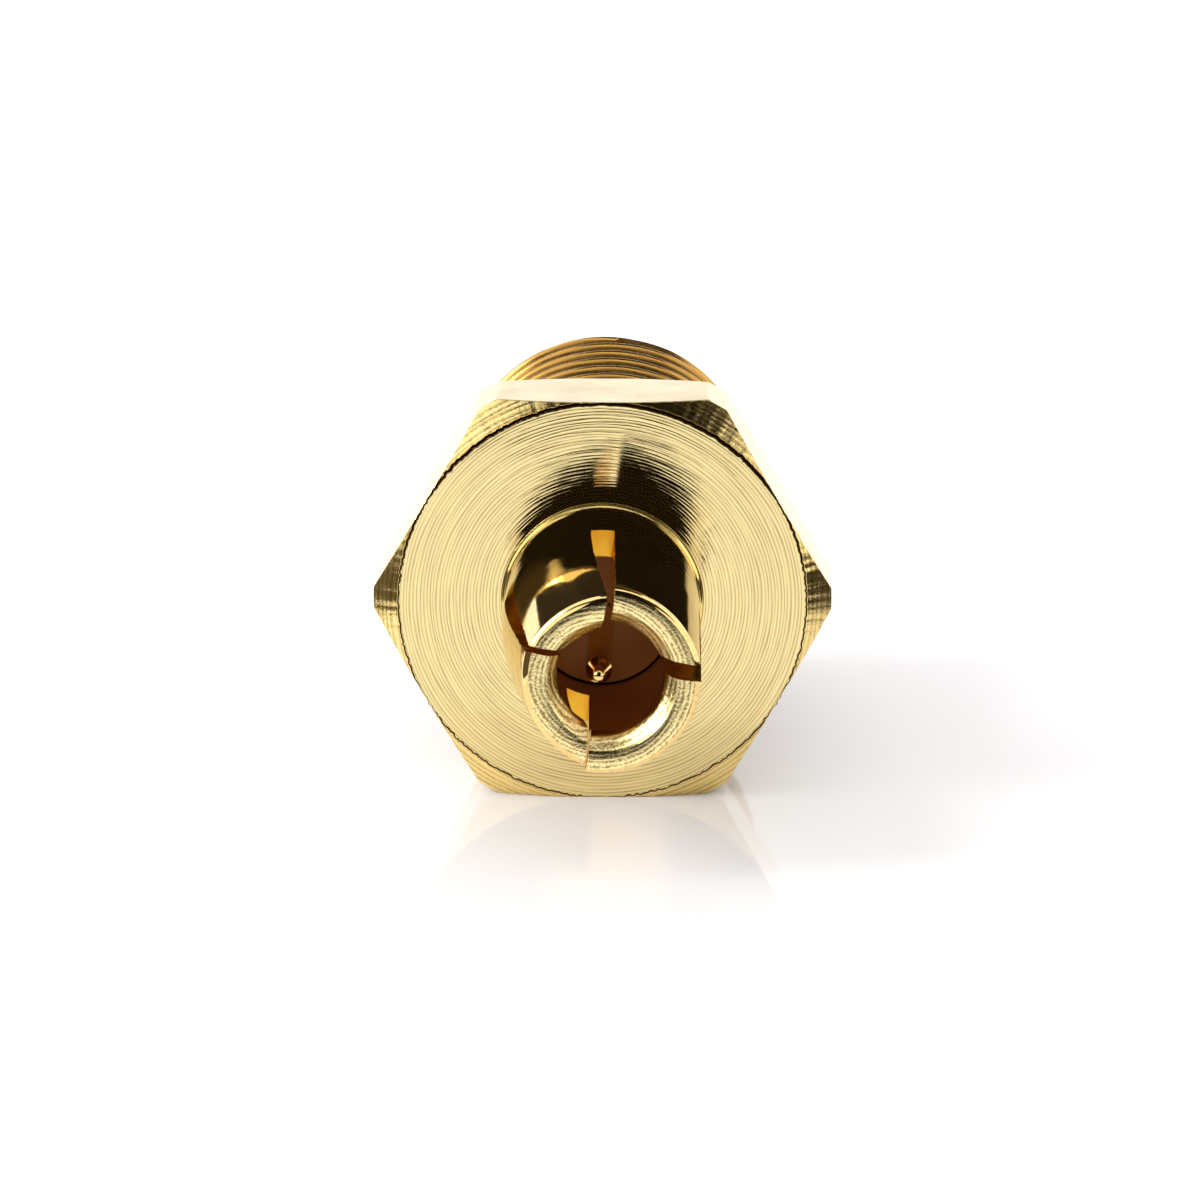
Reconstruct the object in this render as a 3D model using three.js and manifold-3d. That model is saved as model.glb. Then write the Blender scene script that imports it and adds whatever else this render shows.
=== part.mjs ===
// A straight coaxial adapter: a push-on plug with a slotted spring sleeve on one end, a threaded
// jack on the other, and a thin hexagonal flange between them. The axis runs along Y: the plug
// points to -Y and the jack to +Y. Stations along the axis are counted from the flange's front
// face, negative towards the plug's mouth. Millimetres.
import * as THREE from "three";
import { mergeVertices } from "three/addons/utils/BufferGeometryUtils.js";
import Module from "manifold-3d";

const wasm = await Module();
wasm.setup();

// ---- Driving dimensions ----

const ACROSS_FLATS = 8;
const FLANGE_TURNED_RADIUS = 4.5; // the bar is turned before its six flats are cut
const FLANGE_LENGTH = 2.1;
const FLANGE_FACE_RADIUS = 4.03; // where the corner chamfer starts
const FLANGE_CHAMFER = THREE.MathUtils.degToRad(30);

const BARREL_END = 10.1;
const THREAD_RADIUS = 3.175; // 1/4 inch
const THREAD_PITCH = 25.4 / 36;
const THREAD_DEPTH = 0.4;
const THREAD_CREST = THREAD_PITCH / 8;
const THREAD_FLANK = THREE.MathUtils.degToRad(30);
const THREAD_START = 3.4;
const JACK_MOUTH_RADIUS = 2.325;
const JACK_MOUTH_DEPTH = 1.9;

const SLEEVE_RADIUS = 1.92;
const SLEEVE_STEM_RADIUS = 1.96;
const SLEEVE_BORE_RADIUS = 1.4;
const SLEEVE_STEM_LENGTH = 2.38;
const SLEEVE_COLLAR = 0.06; // the stem stands this far proud of the flange
const MOUTH = -5.61;
const SLOT_ROOT = -1.87;
const SLOT_WIDTH = 0.45;

const PIN_RADIUS = 0.25;
const PIN_TIP = -5.5;
const SOCKET_RADIUS = 0.635;

const FIT_GAP = 0.02; // between a pressed piece and its seat
const ROUND_STEPS = 48;
const SMALL_STEPS = 24;

// ---- Stations and radii worked out from them ----

const THREAD_CORE_RADIUS = THREAD_RADIUS - THREAD_DEPTH;
const REFERENCE_PLANE = BARREL_END - JACK_MOUTH_DEPTH;
const SLEEVE_SEAT_RADIUS = SLEEVE_STEM_RADIUS + FIT_GAP;
const WEB_FRONT = SLEEVE_STEM_LENGTH + FIT_GAP;
const WEB_BACK = WEB_FRONT + 0.8;
const WEB_HOLE_RADIUS = 1;
const BEAD_FRONT = -1;
const BEAD_STEP = 1.3;
const BEAD_FLANGE_RADIUS = 1.7;
const PIN_SHOULDER = 1.9;
const PIN_SHOULDER_RADIUS = 0.4;
const PIN_TAIL_RADIUS = 0.22;
const JACK_BEAD_RADIUS = 2.05;
const SOCKET_BACK = 4.32;
const SOCKET_FLANGE_FRONT = 4.9;
const SOCKET_FLANGE_RADIUS = 0.9;

// ---- Finishes ----

const gold = (name, roughness) =>
  new THREE.MeshStandardMaterial({ name, color: 0xd9b45f, roughness, metalness: 1 });
const TURNED_GOLD = gold("turned_gold", 0.28);
const POLISHED_GOLD = gold("polished_gold", 0.12);
const CONTACT_GOLD = gold("contact_gold", 0.2);
const BEAD_WHITE = new THREE.MeshStandardMaterial({
  name: "bead_white",
  color: 0xe6dcc6,
  roughness: 0.55,
  metalness: 0,
});

// ---- Solids ----

function solidOf(geometry) {
  const bare = geometry.clone();
  for (const name of Object.keys(bare.attributes)) {
    if (name !== "position") bare.deleteAttribute(name);
  }
  const merged = mergeVertices(bare, 1e-4);
  return new wasm.Manifold(
    new wasm.Mesh({
      numProp: 3,
      vertProperties: new Float32Array(merged.attributes.position.array),
      triVerts: new Uint32Array(merged.index.array),
    }),
  );
}

function geometryOf(solid) {
  const mesh = solid.getMesh();
  const geometry = new THREE.BufferGeometry();
  geometry.setAttribute("position", new THREE.BufferAttribute(mesh.vertProperties, 3));
  geometry.setIndex(new THREE.BufferAttribute(mesh.triVerts, 1));
  return geometry;
}

// A body of revolution about the Y axis. The profile is [radius, station] pairs, from one end of
// the axis to the other or round a closed ring, going up the outside.
function turned(profile, steps = ROUND_STEPS) {
  const points = profile.map(([radius, station]) => new THREE.Vector2(radius, station));
  return new THREE.LatheGeometry(points, steps);
}

function turnedRing(profile, steps = ROUND_STEPS) {
  return turned([...profile, profile[0]], steps);
}

// Rings of points joined one to the next, with the first and last ring closed by fans of quads
// between the ring's outer half and its inner half.
function lofted(rings) {
  const count = rings[0].length;
  const position = rings.flat().flatMap((point) => point.toArray());
  const index = [];
  const quad = (a, b, c, d) => index.push(a, b, c, a, c, d);
  for (let ring = 0; ring + 1 < rings.length; ring++) {
    for (let i = 0; i < count; i++) {
      const next = (i + 1) % count;
      const low = ring * count;
      const high = low + count;
      quad(low + i, high + i, high + next, low + next);
    }
  }
  const last = (rings.length - 1) * count;
  for (let i = 0; i + 1 < count / 2; i++) {
    const across = count - 1 - i;
    quad(i, i + 1, across - 1, across);
    quad(last + i, last + across, last + across - 1, last + i + 1);
  }
  const geometry = new THREE.BufferGeometry();
  geometry.setAttribute("position", new THREE.Float32BufferAttribute(position, 3));
  geometry.setIndex(index);
  return geometry;
}

function node(name, geometry, material) {
  const mesh = new THREE.Mesh(geometry, material);
  mesh.name = name;
  return mesh;
}

// ---- The body: flange, neck and threaded barrel, turned in one piece and bored through ----

function hexFlange() {
  const bar = new THREE.CylinderGeometry(
    ACROSS_FLATS / Math.sqrt(3),
    ACROSS_FLATS / Math.sqrt(3),
    FLANGE_LENGTH,
    6,
  );
  bar.rotateY(Math.PI / 6);
  bar.translate(0, FLANGE_LENGTH / 2, 0);
  const depth = (FLANGE_TURNED_RADIUS - FLANGE_FACE_RADIUS) * Math.tan(FLANGE_CHAMFER);
  const blank = turned(
    [
      [0, 0],
      [FLANGE_FACE_RADIUS, 0],
      [FLANGE_TURNED_RADIUS, depth],
      [FLANGE_TURNED_RADIUS, FLANGE_LENGTH - depth],
      [FLANGE_FACE_RADIUS, FLANGE_LENGTH],
      [0, FLANGE_LENGTH],
    ],
    2 * ROUND_STEPS,
  );
  return solidOf(bar).intersect(solidOf(blank));
}

// One ridge wound round the core, its foot sunk a little into the core so that they join.
function threadRidge() {
  const stepsPerTurn = ROUND_STEPS;
  const foot = THREAD_CORE_RADIUS - 0.1;
  const flankRun = (THREAD_RADIUS - foot) * Math.tan(THREAD_FLANK);
  const halfCrest = THREAD_CREST / 2;
  const section = [
    [THREAD_RADIUS, -halfCrest],
    [THREAD_RADIUS, halfCrest],
    [foot, halfCrest + flankRun],
    [foot, -halfCrest - flankRun],
  ];
  const turns = (BARREL_END - THREAD_START) / THREAD_PITCH + 1;
  const rings = [];
  for (let step = 0; step <= turns * stepsPerTurn; step++) {
    const angle = (2 * Math.PI * step) / stepsPerTurn;
    const along = THREAD_START + (THREAD_PITCH * step) / stepsPerTurn;
    rings.push(
      section.map(
        ([radius, offset]) =>
          new THREE.Vector3(radius * Math.sin(angle), along + offset, radius * Math.cos(angle)),
      ),
    );
  }
  return solidOf(lofted(rings));
}

function threadedBarrel() {
  const core = solidOf(
    turned([
      [0, FLANGE_LENGTH - 0.2],
      [THREAD_CORE_RADIUS, FLANGE_LENGTH - 0.2],
      [THREAD_CORE_RADIUS, BARREL_END],
      [0, BARREL_END],
    ]),
  );
  const leadIn = THREAD_DEPTH;
  const envelope = solidOf(
    turned([
      [0, FLANGE_LENGTH - 0.3],
      [THREAD_CORE_RADIUS + 0.02, FLANGE_LENGTH - 0.3],
      [THREAD_CORE_RADIUS + 0.02, THREAD_START],
      [THREAD_RADIUS + 0.02, THREAD_START + leadIn],
      [THREAD_RADIUS + 0.02, BARREL_END - leadIn],
      [THREAD_RADIUS - leadIn, BARREL_END],
      [0, BARREL_END],
    ]),
  );
  return core.add(threadRidge()).intersect(envelope);
}

function bodyBore() {
  return solidOf(
    turned([
      [0, -1],
      [SLEEVE_SEAT_RADIUS, -1],
      [SLEEVE_SEAT_RADIUS, WEB_FRONT],
      [WEB_HOLE_RADIUS, WEB_FRONT],
      [WEB_HOLE_RADIUS, WEB_BACK],
      [JACK_BEAD_RADIUS + FIT_GAP, WEB_BACK],
      [JACK_BEAD_RADIUS + FIT_GAP, REFERENCE_PLANE],
      [JACK_MOUTH_RADIUS, REFERENCE_PLANE],
      [JACK_MOUTH_RADIUS, BARREL_END + 1],
      [0, BARREL_END + 1],
    ]),
  );
}

function adapterBody() {
  const body = hexFlange().add(threadedBarrel()).subtract(bodyBore());
  return node("adapter_body", geometryOf(body), TURNED_GOLD);
}

// ---- The plug's outer contact: a pressed-in sleeve that ends in four spring fingers ----

function plugSleeve() {
  return node(
    "plug_sleeve",
    turnedRing([
      [SLEEVE_RADIUS, SLOT_ROOT + FIT_GAP],
      [SLEEVE_RADIUS, -SLEEVE_COLLAR - 0.04],
      [SLEEVE_STEM_RADIUS, -SLEEVE_COLLAR],
      [SLEEVE_STEM_RADIUS, SLEEVE_STEM_LENGTH],
      [BEAD_FLANGE_RADIUS + FIT_GAP, SLEEVE_STEM_LENGTH],
      [BEAD_FLANGE_RADIUS + FIT_GAP, BEAD_STEP],
      [SLEEVE_BORE_RADIUS, BEAD_STEP],
      [SLEEVE_BORE_RADIUS, SLOT_ROOT + FIT_GAP],
    ]),
    POLISHED_GOLD,
  );
}

// Station, inner radius and outer radius up a straight finger, from the mouth to its root: the
// bevels of the mouth, the contact lip and the bore.
const FINGER_PROFILE = [
  [MOUTH, SLEEVE_BORE_RADIUS + 0.03, SLEEVE_RADIUS - 0.13],
  [MOUTH + 0.08, SLEEVE_BORE_RADIUS - 0.03, SLEEVE_RADIUS - 0.03],
  [MOUTH + 0.35, SLEEVE_BORE_RADIUS - 0.21, SLEEVE_RADIUS],
  [MOUTH + 0.7, SLEEVE_BORE_RADIUS - 0.21, SLEEVE_RADIUS],
  [MOUTH + 1, SLEEVE_BORE_RADIUS, SLEEVE_RADIUS],
  [SLOT_ROOT - 2.1, SLEEVE_BORE_RADIUS, SLEEVE_RADIUS],
  [SLOT_ROOT - 1.4, SLEEVE_BORE_RADIUS, SLEEVE_RADIUS],
  [SLOT_ROOT - 0.7, SLEEVE_BORE_RADIUS, SLEEVE_RADIUS],
  [SLOT_ROOT, SLEEVE_BORE_RADIUS, SLEEVE_RADIUS],
];

// The slots are two saw cuts right across the sleeve, square to each other and a little off its
// axis. Angles are seen from the mouth and counted from +X towards +Z.
const LEVEL_CUT = { normal: THREE.MathUtils.degToRad(81.5), middle: 0.425 };
const UPRIGHT_CUT = { normal: THREE.MathUtils.degToRad(-8.5), middle: -0.247 };
const TURN = 2 * Math.PI;

// The angle at which a cut's wall crosses a given radius: side is the wall's side of the cut, and
// way is 1 or -1 for the crossing after or before the cut's normal.
function wallAngle(cut, side, way, radius) {
  const distance = cut.middle + (side * SLOT_WIDTH) / 2;
  return cut.normal + way * Math.acos(distance / radius);
}

// Each finger runs from one cut's wall to the other's, and its tip is set over by [x, z].
const FINGERS = [
  {
    first: (radius) => wallAngle(LEVEL_CUT, 1, -1, radius),
    last: (radius) => wallAngle(UPRIGHT_CUT, 1, 1, radius),
    set: [0.075, -0.125],
  },
  {
    first: (radius) => wallAngle(UPRIGHT_CUT, -1, 1, radius),
    last: (radius) => wallAngle(LEVEL_CUT, 1, 1, radius),
    set: [0.36, -0.29],
  },
  {
    first: (radius) => wallAngle(LEVEL_CUT, -1, 1, radius),
    last: (radius) => wallAngle(UPRIGHT_CUT, -1, -1, radius) + TURN,
    set: [0.46, 0.02],
  },
  {
    first: (radius) => wallAngle(UPRIGHT_CUT, 1, -1, radius) + TURN,
    last: (radius) => wallAngle(LEVEL_CUT, -1, -1, radius) + TURN,
    set: [0.055, 0],
  },
];
const SET_POWER = 1.4; // how the set grows from root to tip

function springFinger(finger, number) {
  const arcSteps = 8;
  const set = new THREE.Vector2(...finger.set);
  const length = SLOT_ROOT - MOUTH;

  const place = (station, radius, share) => {
    const first = finger.first(radius);
    const angle = first + share * (finger.last(radius) - first);
    const across = new THREE.Vector2(radius * Math.cos(angle), radius * Math.sin(angle));
    const down = (SLOT_ROOT - station) / length;
    across.addScaledVector(set, down ** SET_POWER);
    return new THREE.Vector3(across.x, station, across.y);
  };

  const rings = FINGER_PROFILE.map(([station, inner, outer]) => {
    const shares = Array.from({ length: arcSteps + 1 }, (_, i) => i / arcSteps);
    return [
      ...shares.map((share) => place(station, outer, share)),
      ...shares.reverse().map((share) => place(station, inner, share)),
    ];
  });
  return node(`spring_finger_${number}`, lofted(rings), POLISHED_GOLD);
}

// ---- The beads that carry the centre conductor ----

function plugBead() {
  return node(
    "plug_bead",
    turnedRing(
      [
        [SLEEVE_BORE_RADIUS - FIT_GAP, BEAD_FRONT],
        [SLEEVE_BORE_RADIUS - FIT_GAP, BEAD_STEP + FIT_GAP],
        [BEAD_FLANGE_RADIUS, BEAD_STEP + FIT_GAP],
        [BEAD_FLANGE_RADIUS, WEB_FRONT - FIT_GAP],
        [PIN_SHOULDER_RADIUS + FIT_GAP, WEB_FRONT - FIT_GAP],
        [PIN_SHOULDER_RADIUS + FIT_GAP, PIN_SHOULDER],
        [PIN_RADIUS + FIT_GAP, PIN_SHOULDER],
        [PIN_RADIUS + FIT_GAP, BEAD_FRONT],
      ],
      ROUND_STEPS,
    ),
    BEAD_WHITE,
  );
}

function jackBead() {
  return node(
    "jack_bead",
    turnedRing([
      [JACK_BEAD_RADIUS, WEB_BACK + FIT_GAP],
      [JACK_BEAD_RADIUS, REFERENCE_PLANE - FIT_GAP],
      [SOCKET_RADIUS + FIT_GAP, REFERENCE_PLANE - FIT_GAP],
      [SOCKET_RADIUS + FIT_GAP, SOCKET_FLANGE_FRONT + FIT_GAP],
      [SOCKET_FLANGE_RADIUS + FIT_GAP, SOCKET_FLANGE_FRONT + FIT_GAP],
      [SOCKET_FLANGE_RADIUS + FIT_GAP, WEB_BACK + FIT_GAP],
    ]),
    BEAD_WHITE,
  );
}

// ---- The centre conductor: a pin whose tail is pressed into the jack's socket ----

function centrePin() {
  return node(
    "centre_pin",
    turned(
      [
        [0, PIN_TIP],
        [0.1, PIN_TIP + 0.02],
        [0.17, PIN_TIP + 0.1],
        [PIN_RADIUS, PIN_TIP + 0.32],
        [PIN_RADIUS, PIN_SHOULDER + FIT_GAP],
        [PIN_SHOULDER_RADIUS, PIN_SHOULDER + FIT_GAP],
        [PIN_SHOULDER_RADIUS, SOCKET_BACK - FIT_GAP],
        [PIN_TAIL_RADIUS, SOCKET_BACK - FIT_GAP],
        [PIN_TAIL_RADIUS, SOCKET_BACK + 0.88],
        [0, SOCKET_BACK + 0.88],
      ],
      SMALL_STEPS,
    ),
    CONTACT_GOLD,
  );
}

function socketContact() {
  const front = REFERENCE_PLANE - 2 * FIT_GAP;
  const boreRadius = 0.465;
  const slotWidth = 0.16;
  const slotLength = 1.9;
  const blank = solidOf(
    turned(
      [
        [0, SOCKET_BACK],
        [SOCKET_FLANGE_RADIUS, SOCKET_BACK],
        [SOCKET_FLANGE_RADIUS, SOCKET_FLANGE_FRONT],
        [SOCKET_RADIUS, SOCKET_FLANGE_FRONT],
        [SOCKET_RADIUS, front - 0.08],
        [SOCKET_RADIUS - 0.06, front],
        [0, front],
      ],
      SMALL_STEPS,
    ),
  );
  const pinHole = turned(
    [
      [0, front - 2.66],
      [boreRadius, front - 2.66],
      [boreRadius, front - 0.1],
      [boreRadius + 0.1, front + 0.1],
      [0, front + 0.1],
    ],
    SMALL_STEPS,
  );
  const tailHole = turned(
    [
      [0, SOCKET_BACK - 0.1],
      [PIN_TAIL_RADIUS + FIT_GAP, SOCKET_BACK - 0.1],
      [PIN_TAIL_RADIUS + FIT_GAP, SOCKET_BACK + 0.9],
      [0, SOCKET_BACK + 0.9],
    ],
    SMALL_STEPS,
  );
  let socket = blank.subtract(solidOf(pinHole)).subtract(solidOf(tailHole));
  for (const turn of [0, Math.PI / 2]) {
    const saw = new THREE.BoxGeometry(slotWidth, slotLength + 1, 2);
    saw.translate(0, front + 1 / 2 - slotLength / 2, 0);
    saw.rotateY(turn);
    socket = socket.subtract(solidOf(saw));
  }
  return node("socket_contact", geometryOf(socket), CONTACT_GOLD);
}

// ---- The adapter, set down on its lower flat and centred on its own length ----

const adapter = new THREE.Group();
adapter.add(adapterBody(), plugSleeve(), plugBead(), jackBead(), centrePin(), socketContact());
adapter.add(...FINGERS.map((finger, i) => springFinger(finger, i + 1)));
const { min, max } = new THREE.Box3().setFromObject(adapter);
adapter.position.set(0, -(min.y + max.y) / 2, ACROSS_FLATS / 2);

export default adapter;
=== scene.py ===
import math

import bmesh
import bpy
import numpy as np
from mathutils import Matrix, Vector


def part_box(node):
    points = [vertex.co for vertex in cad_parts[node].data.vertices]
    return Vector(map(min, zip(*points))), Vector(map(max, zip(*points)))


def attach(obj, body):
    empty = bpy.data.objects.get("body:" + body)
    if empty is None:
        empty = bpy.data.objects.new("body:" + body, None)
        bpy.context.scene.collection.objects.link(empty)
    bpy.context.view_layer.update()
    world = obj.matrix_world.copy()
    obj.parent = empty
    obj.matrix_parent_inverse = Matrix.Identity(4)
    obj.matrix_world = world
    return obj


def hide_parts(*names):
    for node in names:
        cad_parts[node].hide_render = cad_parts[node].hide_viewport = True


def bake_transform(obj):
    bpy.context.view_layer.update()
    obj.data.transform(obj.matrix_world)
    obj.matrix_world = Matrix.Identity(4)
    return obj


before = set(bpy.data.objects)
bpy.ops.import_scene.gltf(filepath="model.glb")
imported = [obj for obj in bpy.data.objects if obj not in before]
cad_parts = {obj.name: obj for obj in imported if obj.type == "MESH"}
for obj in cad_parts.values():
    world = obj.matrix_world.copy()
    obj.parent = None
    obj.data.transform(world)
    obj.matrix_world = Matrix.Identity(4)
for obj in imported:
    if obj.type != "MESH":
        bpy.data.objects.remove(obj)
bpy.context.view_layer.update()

# A straight coaxial adapter. Its axis runs along Y: the plug's sleeve points to -Y, the threaded
# jack to +Y, and the hexagonal flange between them stands on its lower flat at z = 0. Sizes are in
# millimetres where no MM stands by them, and stations along the axis count from the flange's front.
MM = 0.001
body_low, body_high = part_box("adapter_body")
face_y = body_low.y
axis_z = (body_low.z + body_high.z) / 2


# ---- The camera ----
# It stands in front of the plug and a little above it, and sees the flange nearly square on.
ELEVATION, AZIMUTH = math.radians(14.9), math.radians(0.75)
CAMERA_DISTANCE = 122 * MM
LENS = 186.8
aim = Vector((-0.045 * MM, face_y, axis_z + 0.03 * MM))
towards_camera = Vector(
    (
        math.sin(AZIMUTH) * math.cos(ELEVATION),
        -math.cos(AZIMUTH) * math.cos(ELEVATION),
        math.sin(ELEVATION),
    )
)
camera = bpy.data.objects.new("camera", bpy.data.cameras.new("camera"))
bpy.context.scene.collection.objects.link(camera)
bpy.context.scene.camera = camera
camera.data.lens = LENS
camera.data.clip_start = 5 * MM
camera.location = aim + towards_camera * CAMERA_DISTANCE
camera.rotation_euler = (-towards_camera).to_track_quat("-Z", "Y").to_euler()


# ---- The studio ----
# A glossy white table under an even white sky, with a soft box on the left. Dark cards that show
# in reflections only give the gold its contrast, as a studio's black flags do.
bpy.context.scene.view_settings.view_transform = "Standard"


def wire(tree, kind, inputs=(), **settings):
    """Adds a node of this kind, with settings, and gives each of its inputs a value or a link."""
    made = tree.nodes.new(kind)
    for name, value in settings.items():
        setattr(made, name, value)
    for socket, value in dict(inputs).items():
        if isinstance(value, bpy.types.NodeSocket):
            tree.links.new(value, made.inputs[socket])
        else:
            made.inputs[socket].default_value = value
    return made


def sky(strength):
    """An even light from all round, white with a touch of warmth."""
    world = bpy.data.worlds.new("sky")
    bpy.context.scene.world = world
    world.use_nodes = True
    background = world.node_tree.nodes["Background"]
    background.inputs["Color"].default_value = (1, 0.99, 0.975, 1)
    background.inputs["Strength"].default_value = strength


def soft_box(name, direction, distance, width, height, watts):
    """A rectangular light on that side of the part, turned to face it."""
    lamp = bpy.data.lights.new(name, "AREA")
    lamp.shape = "RECTANGLE"
    lamp.size = width
    lamp.size_y = height
    lamp.energy = watts
    lamp.color = (1, 0.98, 0.95)
    made = bpy.data.objects.new(name, lamp)
    made.location = Vector(direction).normalized() * distance + Vector((0, face_y, axis_z))
    made.rotation_euler = Vector(direction).to_track_quat("Z", "Y").to_euler()
    bpy.context.scene.collection.objects.link(made)


def sheet(name, corners, material):
    """A flat stage piece from four corners, in millimetres from the flange's front face centre."""
    mesh = bpy.data.meshes.new(name)
    placed = [(x * MM, face_y + y * MM, axis_z + z * MM) for x, y, z in corners]
    mesh.from_pydata(placed, [], [(0, 1, 2, 3)])
    mesh.materials.append(material)
    made = bpy.data.objects.new(name, mesh)
    bpy.context.scene.collection.objects.link(made)
    return made


def flag(name, low, high, shade):
    """An upright or level card between two opposite corners, which agree in one direction. It
    shows in reflections only, as a warm brown of its own that no light changes."""
    brown = (1, 0.8, 0.55, 1)
    material = bpy.data.materials.new(name)
    material.use_nodes = True
    tree = material.node_tree
    tree.nodes.clear()
    glow = wire(tree, "ShaderNodeEmission", {"Color": brown, "Strength": shade})
    wire(tree, "ShaderNodeOutputMaterial", {"Surface": glow.outputs[0]})
    across, up = [axis for axis in range(3) if low[axis] != high[axis]]
    second, fourth = list(low), list(low)
    second[across] = high[across]
    fourth[up] = high[up]
    made = sheet(name, [low, second, high, fourth], material)
    made.visible_camera = made.visible_diffuse = made.visible_shadow = False


def table_top(reach):
    """A glossy white sheet that reaches so far each way, to fill the view from any side."""
    material = bpy.data.materials.new("white_gloss_sheet")
    material.use_nodes = True
    shader = material.node_tree.nodes["Principled BSDF"]
    shader.inputs["Base Color"].default_value = (0.65, 0.645, 0.663, 1)
    shader.inputs["Roughness"].default_value = 0.06
    shader.inputs["Specular IOR Level"].default_value = 0.14
    floor = -axis_z / MM
    turns = ((-1, -1), (1, -1), (1, 1), (-1, 1))
    corners = [(reach * across, reach * along, floor) for across, along in turns]
    sheet("table_top", corners, material)


sky(strength=1.45)
soft_box("key_light", (-0.83, -0.14, 0.53), distance=160 * MM, width=80 * MM, height=90 * MM, watts=0.26)
table_top(reach=1500)
flag("flag_front", (-16, -36, -3.9), (27, -36, 52), 0.012)
flag("flag_front_low", (-38, -36, -3.9), (-16, -36, 15), 0.06)
flag("flag_high_left", (-50, -36, 40), (-16, -36, 72), 0.05)
flag("flag_high_right", (27, -36, 30), (60, -36, 72), 0.05)
flag("flag_over_front", (-16, -36, 52), (27, -23, 52), 0.02)
flag("flag_over", (-14, -2, 60), (34, 60, 60), 0.03)
flag("flag_back", (-22, 60, 22), (34, 60, 60), 0.03)
flag("flag_back_left", (-70, 60, 14), (-22, 60, 60), 0.04)
flag("flag_side_right", (13, -20, -3.5), (13, 1, 0), 0.04)
flag("flag_side_left", (-13, -20, -3.5), (-13, 1, 1), 0.12)


# ---- Flange ----
# The hexagonal part of the body. It is turned brass under gold plate: the bar is turned to 9 mm
# and chamfered, its front is faced by a tool that leaves fine rings, and then come six flats.
def about_axis(radius, station, angle):
    """Points at a radius from the axis, a station and an angle counted from +X towards +Z, in
    millimetres and radians."""
    x, z = radius * np.cos(angle) * MM, axis_z + radius * np.sin(angle) * MM
    return np.stack(np.broadcast_arrays(x, face_y + station * MM, z), -1)


CORNER_STEPS = 4


def softened(corners, reach):
    """A closed outline with each corner turned into a small parabola. corners is (corner, column,
    2). Each parabola starts and ends reach from its corner, or less on a short side, and a point
    twice as far along each side keeps the side flat. reach is one length, or one per corner."""
    reach_share, flat_share, tiny = 0.3, 0.45, 1e-12
    after = np.roll(corners, -1, 0) - corners
    before = np.roll(corners, 1, 0) - corners
    rows = []
    for corner, out, back, near in zip(corners, after, before, np.broadcast_to(reach, len(corners))):
        long_out = np.linalg.norm(out, axis=-1, keepdims=True) + tiny
        long_back = np.linalg.norm(back, axis=-1, keepdims=True) + tiny
        enter = corner + back / long_back * np.minimum(near, reach_share * long_back)
        leave = corner + out / long_out * np.minimum(near, reach_share * long_out)
        rows.append(corner + back / long_back * np.minimum(2 * near, flat_share * long_back))
        for u in np.linspace(0, 1, CORNER_STEPS):
            rows.append((1 - u) ** 2 * enter + 2 * u * (1 - u) * corner + u**2 * leave)
        rows.append(corner + out / long_out * np.minimum(2 * near, flat_share * long_out))
    return np.array(rows)


def rows_by_side(sides):
    """For each row of a softened outline, the number of the side that its faces belong to, with
    each rounded corner shared between its two sides."""
    per_corner = CORNER_STEPS + 2
    before_turn = per_corner // 3
    return (np.arange(sides * per_corner) - before_turn) // per_corner % sides


def ring_faces(rows, columns, closed_rows=True):
    """Quads of a grid whose columns close round the axis, and whose rows close too if asked."""
    row = np.arange(rows if closed_rows else rows - 1)[:, None]
    column = np.arange(columns)[None, :]
    after, beside = (row + 1) % rows, (column + 1) % columns
    corners = [row * columns + column, row * columns + beside]
    corners += [after * columns + beside, after * columns + column]
    return np.stack(np.broadcast_arrays(*corners), -1).reshape(-1, 4)


def piece(name, points, faces, materials, index, body, slot, *nodes):
    """Makes one finished mesh from points, faces and each face's material number, merges its
    seams, rides it on a body and lets it stand for CAD nodes."""
    merge_distance, sharp_angle = 0.00001 * MM, math.radians(40)
    mesh = bpy.data.meshes.new(name)
    mesh.from_pydata(points.reshape(-1, 3).tolist(), [], [list(face) for face in faces])
    for material in materials:
        mesh.materials.append(material)
    count = len(mesh.polygons)
    mesh.polygons.foreach_set("material_index", np.broadcast_to(index, count).astype(np.int32))
    mesh.polygons.foreach_set("use_smooth", np.ones(count, bool))
    work = bmesh.new()
    work.from_mesh(mesh)
    bmesh.ops.remove_doubles(work, verts=work.verts, dist=merge_distance)
    bmesh.ops.dissolve_degenerate(work, edges=work.edges, dist=merge_distance)
    bmesh.ops.recalc_face_normals(work, faces=work.faces)
    work.to_mesh(mesh)
    work.free()
    mesh.set_sharp_from_angle(angle=sharp_angle)
    made = bpy.data.objects.new(name, mesh)
    bpy.context.scene.collection.objects.link(made)
    if body is not None:
        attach(made, body)
    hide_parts(*nodes)
    return made


def gold(name, tint, roughness):
    """Gold plate: the metal's own colour and the sheen of its finish."""
    material = bpy.data.materials.new(name)
    material.use_nodes = True
    shader = material.node_tree.nodes["Principled BSDF"]
    shader.inputs["Base Color"].default_value = (*tint, 1)
    shader.inputs["Metallic"].default_value = 1
    shader.inputs["Roughness"].default_value = roughness
    return material


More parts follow.
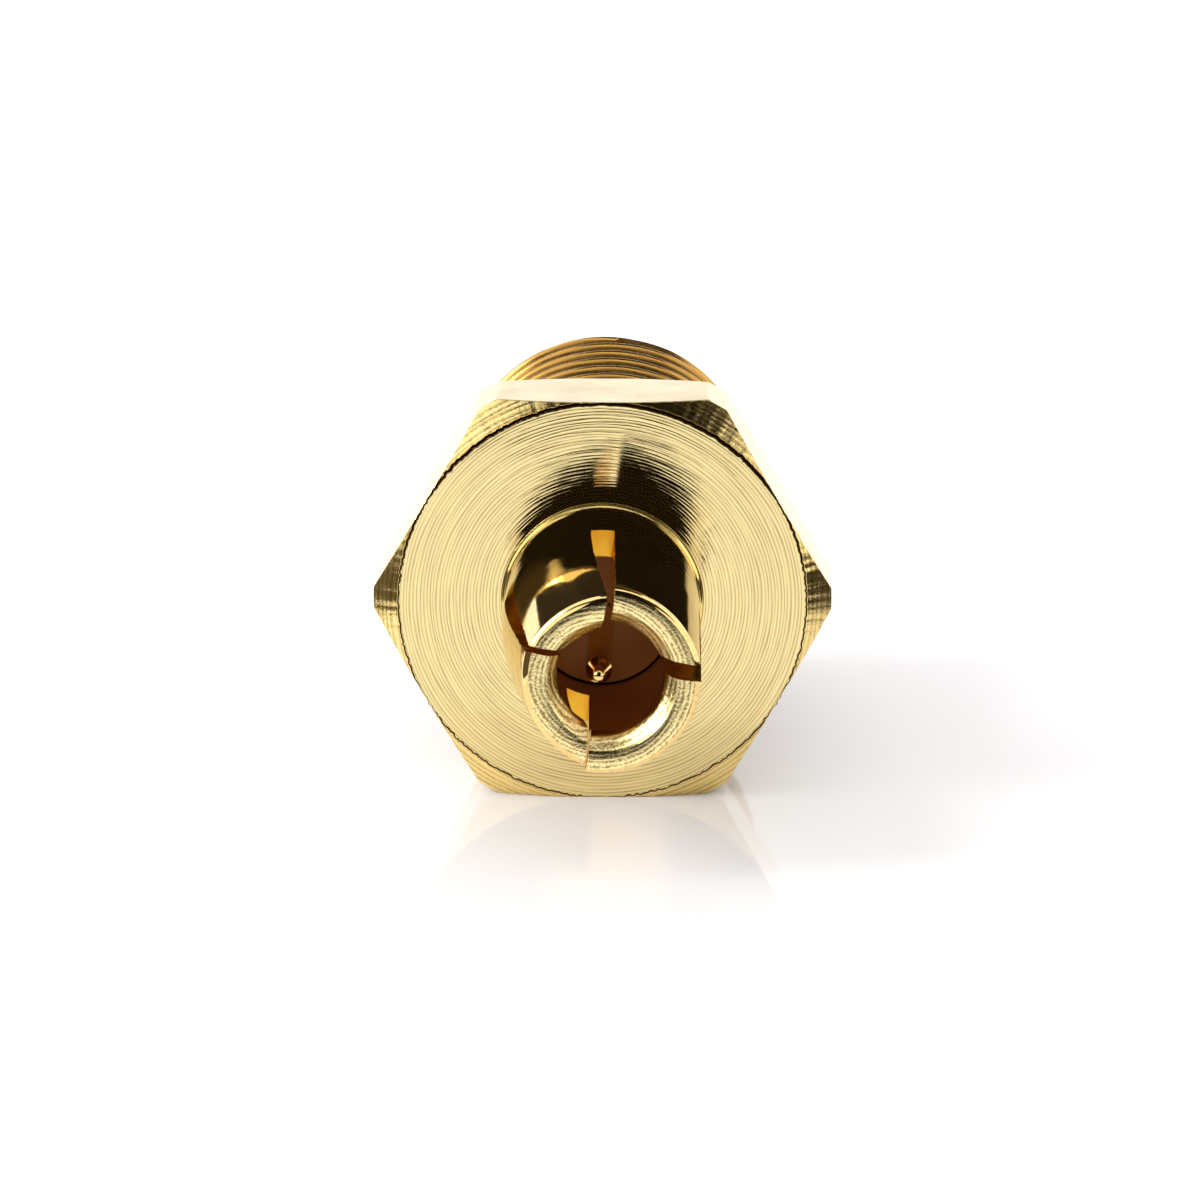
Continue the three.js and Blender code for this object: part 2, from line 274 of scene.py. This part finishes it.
def about_axis_nodes(tree):
    """Node outputs for the place, the radius and the station, all in millimetres, and for the unit
    vector away from the axis."""
    place = wire(tree, "ShaderNodeTexCoord")
    to_face = {0: place.outputs["Object"], 1: (0, -face_y, -axis_z)}
    centred = wire(tree, "ShaderNodeVectorMath", to_face, operation="ADD")
    to_mm = {0: centred.outputs[0], "Scale": 1 / MM}
    scaled = wire(tree, "ShaderNodeVectorMath", to_mm, operation="SCALE")
    split = wire(tree, "ShaderNodeSeparateXYZ", {0: scaled.outputs[0]})
    flat = wire(tree, "ShaderNodeCombineXYZ", {0: split.outputs[0], 2: split.outputs[2]})
    radius = wire(tree, "ShaderNodeVectorMath", {0: flat.outputs[0]}, operation="LENGTH")
    away = wire(tree, "ShaderNodeVectorMath", {0: flat.outputs[0]}, operation="NORMALIZE")
    return scaled.outputs[0], radius.outputs["Value"], split.outputs[1], away.outputs[0]


def tool_marks(material, way, pitch, depth, wave=0.35, grain=0.0, shade=0.0, worn=0.0):
    """Fine lines left by a tool, as bump of a depth in millimetres. They are rings (equal radius),
    bands (equal station) or streaks along the axis. Their height adds a sine of the distance across
    them over the pitch, its phase drifting, to noise that changes fast across the lines and slowly
    along them, and to an even grain. shade paints shade into their valleys, darkening the colour
    towards brown, and worn varies the roughness."""
    tree = material.node_tree
    shader = tree.nodes["Principled BSDF"]
    place, radius, station, away = about_axis_nodes(tree)
    distance = radius if way == "rings" else station

    def math_node(operation, *values):
        return wire(tree, "ShaderNodeMath", dict(enumerate(values)), operation=operation).outputs[0]

    def noise(where, scale, detail, roughness):
        look = {"Vector": where, "Scale": scale, "Detail": detail, "Roughness": roughness}
        return wire(tree, "ShaderNodeTexNoise", look).outputs[0]

    def map_range(value, old_low, old_high, new_low, new_high):
        ends = {"From Min": old_low, "From Max": old_high, "To Min": new_low, "To Max": new_high}
        return wire(tree, "ShaderNodeMapRange", {"Value": value, **ends}).outputs[0]

    def lines(across, along):
        """Noise over the distance times across and the way round the axis times along. Streaks run
        the other way, so they swap the two."""
        if way == "streaks":
            across, along = along, across
        fast = wire(tree, "ShaderNodeCombineXYZ", {1: math_node("MULTIPLY", distance, across)})
        wide = wire(tree, "ShaderNodeVectorMath", {0: away, "Scale": along}, operation="SCALE")
        both = {0: wide.outputs[0], 1: fast.outputs[0]}
        where = wire(tree, "ShaderNodeVectorMath", both, operation="ADD")
        return noise(where.outputs[0], scale=1, detail=2, roughness=0.5)

    height = lines(across=2.4 / pitch, along=3)
    if wave:
        drift, drift_radians = lines(across=0.5 / pitch, along=1.5), 9
        turns = math_node("MULTIPLY", distance, 2 * math.pi / pitch)
        phase = math_node("MULTIPLY_ADD", drift, drift_radians, turns)
        height = math_node("MULTIPLY_ADD", math_node("SINE", phase), wave, height)
    if grain:
        dust = noise(place, scale=20, detail=4, roughness=0.7)
        height = math_node("MULTIPLY_ADD", dust, grain, height)
    bump = wire(tree, "ShaderNodeBump", {"Height": height, "Strength": 1, "Distance": depth * MM})
    tree.links.new(bump.outputs[0], shader.inputs["Normal"])
    if shade:
        # Painted shade: the colour darkens towards brown in the valleys, for the shadow that fills the
        # tool's grooves.
        valley_painted_shade = (0.2, 0.11, 0.02, 1)
        tint = tuple(shader.inputs["Base Color"].default_value)
        noise_low, noise_span = 0.25, 0.25
        low = noise_low + 0.5 * grain - 0.6 * wave
        lit = map_range(height, low, low + noise_span + wave, 1 - shade, 1)
        factor, dark_colour, light_colour, colour_out = 0, 6, 7, 2
        blend = {factor: lit, dark_colour: valley_painted_shade, light_colour: tint}
        mixed = wire(tree, "ShaderNodeMix", blend, data_type="RGBA")
        tree.links.new(mixed.outputs[colour_out], shader.inputs["Base Color"])
    if worn:
        middle = shader.inputs["Roughness"].default_value
        rubbed = noise(place, scale=1.3, detail=5, roughness=0.6)
        spread = map_range(rubbed, 0.3, 0.7, middle - worn, middle + worn)
        tree.links.new(spread, shader.inputs["Roughness"])
    return material


FLAT_DISTANCE = (body_high.z - body_low.z) / 2 / MM
TURNED_RADIUS = body_high.x / MM
FLANGE_LENGTH = 2.1
CHAMFER_SLOPE = math.tan(math.radians(30))
SEAT_RADIUS = 1.98
FACE_RADIUS = 4.03
GROOVE_WIDTH, GROOVE_DEPTH = 0.045, 0.05
EDGE_REACH = 0.012


def raggedness(angle):
    """A random edge about 1 high: a sum of equal sines of 25 to 229 waves in a turn, each with a
    phase of its own."""
    wave = np.arange(25, 230)
    phases = np.random.default_rng(3).uniform(0, 2 * math.pi, len(wave))
    return (np.sin(np.outer(angle, wave) + phases) / np.sqrt(len(wave))).sum(1)


def flange_grid():
    """A closed outline round the flange's section at each angle. The flats' distance over the
    cosine of the angle from a flat's middle gives the hexagon, which the turned radius cuts at the
    corners, and the chamfer rises from the face's circle at its slope. The face is cut a little
    deeper than the chamfer's foot, which leaves a low uneven groove round it, widest at the top."""
    corner = math.degrees(math.acos(FLAT_DISTANCE / TURNED_RADIUS))
    flat_columns, corner_columns = 42, 5
    half = np.linspace(0, corner, flat_columns)
    half = np.concatenate([half, np.linspace(corner, 30, corner_columns)[1:]])
    off_flat = np.radians(np.concatenate([-half[:0:-1], half[:-1]]))
    angle = np.concatenate([off_flat + math.radians(90 + 60 * k) for k in range(6)])
    outer = np.minimum(FLAT_DISTANCE / np.cos(np.tile(off_flat, 6)), TURNED_RADIUS)
    ragged = raggedness(angle)
    foot = np.minimum(FACE_RADIUS, outer) - 0.012 + 0.01 * np.minimum(ragged, 1)
    upper = 0.12 + 0.88 * np.clip(np.sin(angle) * 1.3, 0, 1)
    groove_in = FACE_RADIUS - 0.035 - GROOVE_WIDTH * upper + 0.014 * ragged
    groove_floor = GROOVE_DEPTH * upper + 0.01 * ragged + 0.02
    least_rise = 0.008
    rise = np.maximum((outer - FACE_RADIUS) * CHAMFER_SLOPE, least_rise)
    zero = np.zeros_like(angle)
    end = FLANGE_LENGTH + zero
    outline = [
        (SEAT_RADIUS + zero, zero + 0.012),
        (groove_in, zero + 0.004),
        (groove_in + 0.02, groove_floor),
        (foot, zero),
        (outer, rise),
        (outer, end - rise),
        (np.minimum(FACE_RADIUS + zero, outer - 0.004), end),
        (SEAT_RADIUS + zero, end),
    ]
    section = softened(np.moveaxis(np.array(outline), 1, -1), EDGE_REACH)
    return about_axis(section[..., 0], section[..., 1], angle)


PALE_GOLD = (1, 0.83, 0.4)
face_gold = gold("face_gold", PALE_GOLD, 0.05)
chamfer_gold = gold("chamfer_gold", (0.96, 0.74, 0.3), 0.14)
# The flats' paler, greyer gold is painted light: it stands in for the washed-out glare of the bright sky
# on the top flat.
flat_gold_painted_glare = gold("flat_gold_painted_glare", (0.75, 0.6, 0.35), 0.16)
# The groove's near-black gold is painted shade, for the shadow down in the crease round the face.
groove_painted_shade_gold = gold("groove_painted_shade_gold", (0.12, 0.07, 0.02), 0.4)
tool_marks(face_gold, "rings", 0.065, 0.0008, shade=0.55, worn=0.015)
tool_marks(chamfer_gold, "rings", 0.09, 0.0022, grain=1.2, shade=0.5, worn=0.05)
tool_marks(flat_gold_painted_glare, "bands", 0.11, 0.0007, wave=0.1, worn=0.04)


def flange():
    """The flange in one mesh, with a finish for each side of its outline."""
    finishes = [face_gold, chamfer_gold, flat_gold_painted_glare, groove_painted_shade_gold]
    face, chamfer, flat, groove = range(len(finishes))
    finish_of_side = np.array([face, groove, groove, chamfer, flat, chamfer, face, face])
    grid = flange_grid()
    index = np.repeat(finish_of_side[rows_by_side(len(finish_of_side))], grid.shape[1])
    faces = ring_faces(*grid.shape[:2])
    piece("flange", grid, faces, finishes, index, "adapter", "turned_gold", "adapter_body")


flange()


# ---- Threaded barrel ----
# The jack's half of the body: a plain neck, then a 36-per-inch right-handed thread on 1/4 inch,
# with a chamfered lead-in, a counterbore for the mating plug and the bore that holds the bead.
BARREL_END = (body_high.y - face_y) / MM
THREAD_PITCH = 25.4 / 36
THREAD_RADIUS, THREAD_CORE, THREAD_START = 3.175, 2.775, 3.4
THREAD_FOOT = THREAD_START - 0.02
FLANK_ANGLE = math.radians(30)
COUNTERBORE_RADIUS, COUNTERBORE_DEPTH = 2.325, 1.9
BEAD_SEAT_RADIUS = 2.07
# The barrel's dark, brown-orange gold is painted shade: the same plate as the flange, darkened for the
# dark surroundings that the thread reflects.
BARREL_PAINTED_SHADE_GOLD = (0.6, 0.33, 0.08)


def thread_profile(turn):
    """Radius against the turn, in pitches from a crest: a flat crest an eighth of a pitch wide, 30
    degree flanks and a flat root, each corner rounded by averaging over a small stretch."""
    crest = 1 / 16
    run = (THREAD_RADIUS - THREAD_CORE) * math.tan(FLANK_ANGLE) / THREAD_PITCH
    rounding = 0.035
    shifts = np.linspace(-rounding, rounding, 9)
    found = 0
    for shift in shifts:
        away = np.abs((turn + shift + 0.5) % 1 - 0.5)
        found = found + np.interp(away, [crest, crest + run], [THREAD_RADIUS, THREAD_CORE])
    return found / len(shifts)


def barrel_grid():
    """Rows that follow the thread's helix: a row's station grows by one pitch in one turn, so the
    last column's rows meet the first column's rows one pitch on. Each radius is the thread's
    profile, cut by 45 degree chamfers at both ends, and rows past an end are held there."""
    per_pitch, columns = 22, 240
    turn = np.linspace(0, 1, columns + 1)[None, :]
    pitches = (BARREL_END - THREAD_START) / THREAD_PITCH
    rows = np.arange(-2 * per_pitch, int((pitches + 1) * per_pitch))[:, None] / per_pitch
    station = THREAD_START + THREAD_PITCH * (rows + turn)
    held = np.clip(station, THREAD_FOOT, BARREL_END)
    front = THREAD_CORE + 0.012 + np.maximum(held - THREAD_START, 0)
    back = THREAD_CORE + BARREL_END - held
    radius = np.minimum(np.minimum(thread_profile(rows), front), back)
    radius = np.where((station <= THREAD_FOOT) | (station >= BARREL_END), THREAD_CORE, radius)
    return about_axis(radius, held, math.pi / 2 - 2 * math.pi * turn)


def joined(grids):
    """Several open grids as one mesh, as points and quads, for merging where their edges meet."""
    points, faces, count = [], [], 0
    for grid in grids:
        rows, columns = grid.shape[:2]
        row, column = np.arange(rows - 1)[:, None], np.arange(columns - 1)[None, :]
        first = count + row * columns + column
        quads = np.stack([first, first + 1, first + columns + 1, first + columns], -1)
        faces.append(quads.reshape(-1, 4))
        points.append(grid.reshape(-1, 3))
        count += rows * columns
    return np.concatenate(points), np.concatenate(faces)


def barrel():
    """The thread, and an outline turned about the axis that closes it: in over the rim, down the
    counterbore and the bead's seat, and back along the neck. The web inside the body can't be seen
    and is left out."""
    thread = barrel_grid()
    angle = math.pi / 2 - 2 * math.pi * np.linspace(0, 1, thread.shape[1])[None, :]
    reference = BARREL_END - COUNTERBORE_DEPTH
    inside_flange = FLANGE_LENGTH - 0.1
    outline = [
        (THREAD_CORE, BARREL_END),
        (THREAD_CORE - 0.03, BARREL_END),
        (COUNTERBORE_RADIUS + 0.12, BARREL_END),
        (COUNTERBORE_RADIUS + 0.08, BARREL_END - 0.01),
        (COUNTERBORE_RADIUS, BARREL_END - 0.09),
        (COUNTERBORE_RADIUS, BARREL_END - 0.13),
        (COUNTERBORE_RADIUS, reference + 0.04),
        (COUNTERBORE_RADIUS - 0.005, reference + 0.01),
        (COUNTERBORE_RADIUS - 0.02, reference),
        (BEAD_SEAT_RADIUS + 0.03, reference),
        (BEAD_SEAT_RADIUS + 0.01, reference - 0.006),
        (BEAD_SEAT_RADIUS, reference - 0.03),
        (BEAD_SEAT_RADIUS, inside_flange),
        (THREAD_CORE, inside_flange),
        (THREAD_CORE, FLANGE_LENGTH - 0.05),
        (THREAD_CORE, THREAD_START - 0.1),
        (THREAD_CORE, THREAD_FOOT),
    ]
    radius, station = np.array(outline).T[:, :, None]
    points, faces = joined([thread, about_axis(radius, station, angle)])
    finish = gold("thread_gold", BARREL_PAINTED_SHADE_GOLD, 0.25)
    tool_marks(finish, "bands", 0.05, 0.0006, grain=0.6, shade=0.3, worn=0.05)
    piece("threaded_barrel", points, faces, [finish], 0, "adapter", "turned_gold", "adapter_body")


barrel()


# ---- Plug sleeve ----
# The plug's outer contact, a polished spring tube pressed into the body. Behind the slots it is
# whole, and a small bevel runs round it where it meets the flange, in a paler gold that is a
# painted highlight.
SLEEVE_RADIUS, SLEEVE_BORE = 1.92, 1.4
SLOT_ROOT, MOUTH, SLEEVE_BACK = -1.87, -5.61, 0.3
COLLAR_RADIUS = 1.97


def turned(outline, reach, columns=192):
    """A closed ring: an outline of [radius, station] corners, softened and turned about the axis."""
    section = softened(np.array(outline, float)[:, None, :], reach)
    angle = np.linspace(0, 2 * math.pi, columns, endpoint=False)[None, :]
    return about_axis(section[..., 0], section[..., 1], angle)


CONTACT_TINT = (0.86, 0.62, 0.25)
sleeve_gold = gold("sleeve_gold", CONTACT_TINT, 0.06)
# The bore's deeper, browner gold is painted shade, for the dim light deep inside the tube.
bore_gold_painted_shade = gold("bore_gold_painted_shade", (0.62, 0.3, 0.05), 0.16)
slot_gold = gold("slot_gold", (0.85, 0.46, 0.04), 0.2)
# The collar's paler gold is a painted highlight, for the bright ring that the light leaves on its bevel.
collar_gold_painted_highlight = gold("collar_gold_painted_highlight", (1, 0.88, 0.55), 0.1)
tool_marks(sleeve_gold, "streaks", 0.09, 0.00025, wave=0, shade=0.25, worn=0.02)
tool_marks(bore_gold_painted_shade, "bands", 0.06, 0.0003, worn=0.04)
tool_marks(slot_gold, "streaks", 0.06, 0.0008, wave=0, worn=0.05)


def sleeve_root():
    """The whole tube from the slots' ends to just inside the body, with its bevelled collar."""
    outline = [
        (SLEEVE_RADIUS, SLOT_ROOT),
        (SLEEVE_RADIUS, -0.19),
        (COLLAR_RADIUS, -0.09),
        (COLLAR_RADIUS, SLEEVE_BACK),
        (SLEEVE_BORE, SLEEVE_BACK),
        (SLEEVE_BORE, SLOT_ROOT),
    ]
    seam = 0.0005
    reach = [seam, 0.03, 0.02, 0.015, 0.015, seam]
    finishes = [sleeve_gold, bore_gold_painted_shade, slot_gold, collar_gold_painted_highlight]
    outside, bore, slot_end, collar = range(len(finishes))
    finish_of_side = np.array([outside, collar, collar, outside, bore, slot_end])
    grid = turned(outline, reach)
    index = np.repeat(finish_of_side[rows_by_side(len(outline))], grid.shape[1])
    faces = ring_faces(*grid.shape[:2])
    piece("plug_sleeve_root", grid, faces, finishes, index, "adapter", "polished_gold", "plug_sleeve")


sleeve_root()


# ---- Spring fingers ----
# Two saw cuts right across the sleeve leave four fingers, bent in so that they grip. Each is
# bevelled inside and out at the mouth, and keeps the burr of the saw along its edges.
LEVEL_CUT = {"normal": math.radians(81.5), "middle": 0.425, "width": 0.45}
UPRIGHT_CUT = {"normal": math.radians(-8.5), "middle": -0.247, "width": 0.45}
SET_POWER, SET_START = 1.4, 0.25
BEVEL_DEPTH, BEVEL_HEIGHT = 0.11, 0.1
MOUTH_TAPER = 0.045
BURR_WANDER, BURR_GRAIN = 0.006, 0.01
ARC_POINTS, WALL_POINTS = 56, 7
OUTSIDE, BORE, SAW_WALL, MOUTH_END = range(4)


def wall_angle(cut, side, way, radius):
    """The angle at which a saw cut's wall crosses a radius: the cut's normal, turned either way by
    the arc cosine of the wall's distance from the axis over the radius."""
    return cut["normal"] + way * np.arccos((cut["middle"] + side * cut["width"] / 2) / radius)


def split_tube(first, last, outer, inner, burr):
    """Rings across one tine of a slotted tube, one for each pair of outer and inner radius. A ring
    runs along the outer arc, in along one saw wall, back along the inner arc and out along the
    other wall. burr moves the two outer edges, and fades to nothing at the bore. Returns radii and
    angles."""
    share = np.linspace(0, 1, ARC_POINTS)
    across = np.linspace(0, 1, WALL_POINTS + 2)[1:-1]
    ring_share = np.concatenate([share, np.ones(WALL_POINTS), share[::-1], np.zeros(WALL_POINTS)])
    ring_depth = np.concatenate([np.zeros(ARC_POINTS), across, np.ones(ARC_POINTS), across[::-1]])
    radius = outer[:, None] + (inner - outer)[:, None] * ring_depth
    begin = wall_angle(*first, radius) % (2 * math.pi)
    finish = wall_angle(*last, radius) % (2 * math.pi)
    begin = np.where(begin > finish, begin - 2 * math.pi, begin)
    begin = begin + burr[:, :1] * (1 - ring_depth) / radius
    finish = finish + burr[:, 1:] * (1 - ring_depth) / radius
    return radius, begin + ring_share * (finish - begin)


def tine_faces(rows):
    """Quads between the rings of a tine, then both ends closed by strips between the outer and the
    inner arc. With them comes the number of each face's finish."""
    columns = 2 * (ARC_POINTS + WALL_POINTS)
    faces = ring_faces(rows, columns, closed_rows=False).tolist()
    inner_start = ARC_POINTS + WALL_POINTS
    finish_of_column = np.full(columns, SAW_WALL)
    finish_of_column[: ARC_POINTS - 1] = OUTSIDE
    finish_of_column[inner_start : inner_start + ARC_POINTS - 1] = BORE
    finish = np.tile(finish_of_column, rows - 1).tolist()
    for base, end_finish in ((0, MOUTH_END), ((rows - 1) * columns, SAW_WALL)):
        strip = []
        for i in range(ARC_POINTS - 1):
            across = inner_start + ARC_POINTS - 1 - i
            strip.append([base + i, base + i + 1, base + across - 1, base + across])
        strip.append([base + k for k in range(ARC_POINTS - 1, inner_start + 1)])
        strip.append([base + k for k in range(inner_start + ARC_POINTS - 1, columns)] + [base])
        faces += strip
        finish += [end_finish] * len(strip)
    return faces, np.array(finish)


def finger_grid(first, last, tip_set, seed):
    """One finger's rings, from the mouth to the slot's end. The outer and inner radius follow the
    mouth's bevels and the gripping lip, and the burr is a random walk plus noise, both less towards
    the slot's end. The set moves each ring sideways by the tip's set times a curve of its share of
    the length, which starts as its square and goes on as a lower power."""
    length = SLOT_ROOT - MOUTH
    bevel = BEVEL_DEPTH * np.linspace(0, 1, 9) ** 1.5
    lip = np.array([0.15, 0.19, 0.25, 0.31, 0.345, 0.36, 0.4, 0.5, 0.6, 0.68, 0.71, 0.78, 0.9, 0.98, 1.02])
    depth = np.concatenate([bevel, lip, np.linspace(1.1, length, 46)])
    station = MOUTH + depth
    taper = np.interp(depth, [0.1, 2.6], [SLEEVE_RADIUS - MOUTH_TAPER, SLEEVE_RADIUS])
    outer = taper - BEVEL_HEIGHT * (1 - np.clip(depth / BEVEL_DEPTH, 0, 1)) ** 2
    inner = np.interp(depth, [0, 0.02, 0.24, 0.31, 0.7, 1.0], [1.45, 1.42, 1.2, 1.19, 1.19, 1.4])
    rng = np.random.default_rng(seed)
    walk = np.cumsum(rng.normal(0, 1, (len(station), 2)), 0)
    burr = BURR_WANDER * (walk - walk.mean(0)) / walk.std(0)
    burr = burr + BURR_GRAIN * rng.normal(0, 1, walk.shape)
    fading = np.clip((length - depth) / 0.5, 0, 1) * np.interp(depth, [0, 1.5, length], [1, 0.7, 0.4])
    radius, angle = split_tube(first, last, outer, inner, burr * fading[:, None])
    grid = about_axis(radius, station[:, None], angle)
    share = ((SLOT_ROOT - station) / length)[:, None]
    bent = share**2 * (1 + SET_START) / (share ** (2 - SET_POWER) + SET_START)
    grid[..., 0] += tip_set[0] * bent * MM
    grid[..., 2] += tip_set[1] * bent * MM
    return grid


mouth_gold = gold("mouth_gold", (1, 0.84, 0.4), 0.14)
tool_marks(mouth_gold, "rings", 0.09, 0.003, grain=3, shade=0.8, worn=0.04)

# For each finger, the saw wall where it begins and the one where it ends, as the cut, the cut's
# side and the way round, and how far its tip is set in X and Z.
FINGERS = [
    ((LEVEL_CUT, 1, -1), (UPRIGHT_CUT, 1, 1), (0.075, -0.125)),
    ((UPRIGHT_CUT, -1, 1), (LEVEL_CUT, 1, 1), (0.36, -0.29)),
    ((LEVEL_CUT, -1, 1), (UPRIGHT_CUT, -1, -1), (0.46, 0.02)),
    ((UPRIGHT_CUT, 1, -1), (LEVEL_CUT, -1, -1), (0.055, 0.0)),
]


def spring_finger(number, first, last, tip_set):
    """A finger, bent in towards its tip by its set and baked where it stands. Inside, the first
    rings have the mouth's finish as well."""
    grid = finger_grid(first, last, tip_set, seed=10 + number)
    faces, finish = tine_faces(len(grid))
    mouth_rings = 14
    near_mouth = finish[: mouth_rings * grid.shape[1]]
    near_mouth[near_mouth == BORE] = MOUTH_END
    name = f"spring_finger_{number}"
    finishes = [sleeve_gold, bore_gold_painted_shade, slot_gold, mouth_gold]
    made = piece(name, grid, faces, finishes, finish, None, "polished_gold", name)
    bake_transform(made)


for number, (first, last, tip_set) in enumerate(FINGERS, 1):
    spring_finger(number, first, last, tip_set)


# ---- Beads ----
# Two turned plastic beads hold the centre contacts. The plug's is a dark amber, partly painted
# shade and gold-warmed light from deep in its bore, and the jack's is a waxy white. Their stepped
# ends inside the body can't be seen and are left out.
def bead_plastic(name, colour):
    """Plastic with the fine rings of turning."""
    material = bpy.data.materials.new(name)
    material.use_nodes = True
    shader = material.node_tree.nodes["Principled BSDF"]
    shader.inputs["Base Color"].default_value = (*colour, 1)
    shader.inputs["Roughness"].default_value = 0.42
    return tool_marks(material, "rings", 0.05, 0.0005, worn=0.06)


def bead(name, node, colour, hole, radius, front, back):
    """A thick washer between two stations, with softened edges."""
    outline = [(hole, front), (radius, front), (radius, back), (hole, back)]
    grid = turned(outline, reach=0.03)
    faces = ring_faces(*grid.shape[:2])
    piece(name, grid, faces, [bead_plastic(name + "_plastic", colour)], 0, "adapter", "bead_white", node)


# The plug bead's dark amber is partly painted shade and gold-warmed light from deep in its bore.
AMBER_WITH_PAINTED_SHADE, WAXY_WHITE = (0.5, 0.22, 0.04), (0.82, 0.76, 0.62)
jack_bead_face = BARREL_END - COUNTERBORE_DEPTH - 0.02
bead("plug_bead_front", "plug_bead", AMBER_WITH_PAINTED_SHADE, hole=0.27, radius=1.38, front=-1.0, back=1.2)
bead("jack_bead_back", "jack_bead", WAXY_WHITE, hole=0.655, radius=2.05, front=3.4, back=jack_bead_face)


# ---- Centre pin ----
# A drawn wire with a small ball for a tip, a shoulder that the plug's bead holds, and a tail that
# is pressed into the socket.
PIN_RADIUS, SHOULDER_RADIUS, TAIL_RADIUS = 0.25, 0.4, 0.22
PIN_TIP, BALL_RADIUS = -5.5, 0.13
contact_gold = gold("contact_gold", CONTACT_TINT, 0.1)
tool_marks(contact_gold, "bands", 0.04, 0.0002, worn=0.03)


def pin():
    """An outline turned about the axis: a ball from its pole to 125 degrees round, then the wire's
    bevelled end, its shoulder and its tail, closed at the axis."""
    polar = np.radians(np.linspace(0, 125, 14))
    ball = [(BALL_RADIUS * math.sin(a), PIN_TIP + BALL_RADIUS * (1 - math.cos(a))) for a in polar]
    wire_end = [
        (BALL_RADIUS, PIN_TIP + 0.24),
        (PIN_RADIUS - 0.005, PIN_TIP + 0.46),
        (PIN_RADIUS, PIN_TIP + 0.48),
        (PIN_RADIUS, PIN_TIP + 0.6),
    ]
    front, back, tail_end = 1.92, 4.3, 5.2
    shoulder = [(PIN_RADIUS, front), (SHOULDER_RADIUS, front), (SHOULDER_RADIUS, back)]
    tail = [(TAIL_RADIUS, back), (TAIL_RADIUS, tail_end), (0, tail_end)]
    radius, station = np.array(ball + wire_end + shoulder + tail).T[:, :, None]
    grid = about_axis(radius, station, np.linspace(0, 2 * math.pi, 64, endpoint=False)[None, :])
    faces = ring_faces(*grid.shape[:2], closed_rows=False)
    piece("centre_pin_fine", grid, faces, [contact_gold], 0, "adapter", "contact_gold", "centre_pin")


pin()


# ---- Socket contact ----
# The jack's inner contact: a tube whose end two saw cuts split into four tines, belled out inside
# so that a pin can enter.
SOCKET_FRONT, SOCKET_SLOT = BARREL_END - COUNTERBORE_DEPTH - 0.04, 1.9
SOCKET_RADIUS, SOCKET_BORE = 0.635, 0.465
SOCKET_CUT_WIDTH = 0.16


def socket_tines():
    """Four tines, as the fingers are made but straight and without burrs. The outside falls away
    as a power of the nearness to the end, and the bore's bell is a straight cone."""
    depth = np.array([0, 0.01, 0.025, 0.05, 0.08, 0.12, 0.2, 0.5, 1, 1.5, SOCKET_SLOT])
    outer = SOCKET_RADIUS - 0.06 * np.clip(1 - depth / 0.08, 0, 1) ** 1.5
    inner = SOCKET_BORE + 0.05 * np.clip(1 - depth / 0.1, 0, 1)
    cuts = [{"normal": turn, "middle": 0, "width": SOCKET_CUT_WIDTH} for turn in (0, math.pi / 2)]
    level, upright = cuts
    quarters = [((upright, 1, -1), (level, 1, 1)), ((level, -1, -1), (upright, 1, 1))]
    quarters += [((upright, -1, 1), (level, -1, 1)), ((level, 1, -1), (upright, -1, -1))]
    no_burr = np.zeros((len(depth), 2))
    for number, (first, last) in enumerate(quarters, 1):
        radius, angle = split_tube(first, last, outer, inner, no_burr)
        grid = about_axis(radius, (SOCKET_FRONT - depth)[:, None], angle)
        faces, _ = tine_faces(len(grid))
        name = f"socket_tine_{number}"
        piece(name, grid, faces, [contact_gold], 0, "adapter", "contact_gold", "socket_contact")


def socket_barrel():
    """The uncut part: the tube, the web that the pin's tail passes, and the collar behind it."""
    root, bore_end, collar_start, collar_end = SOCKET_FRONT - SOCKET_SLOT, 5.5, 4.9, 4.32
    tail_hole, collar_radius = 0.24, 0.9
    outline = [
        (SOCKET_RADIUS, collar_start),
        (SOCKET_RADIUS, root),
        (SOCKET_BORE, root),
        (SOCKET_BORE, bore_end),
        (tail_hole, bore_end),
        (tail_hole, collar_end),
        (collar_radius, collar_end),
        (collar_radius, collar_start),
    ]
    grid = turned(outline, reach=0.01, columns=96)
    faces = ring_faces(*grid.shape[:2])
    piece("socket_barrel", grid, faces, [contact_gold], 0, "adapter", "contact_gold", "socket_contact")


socket_tines()
socket_barrel()
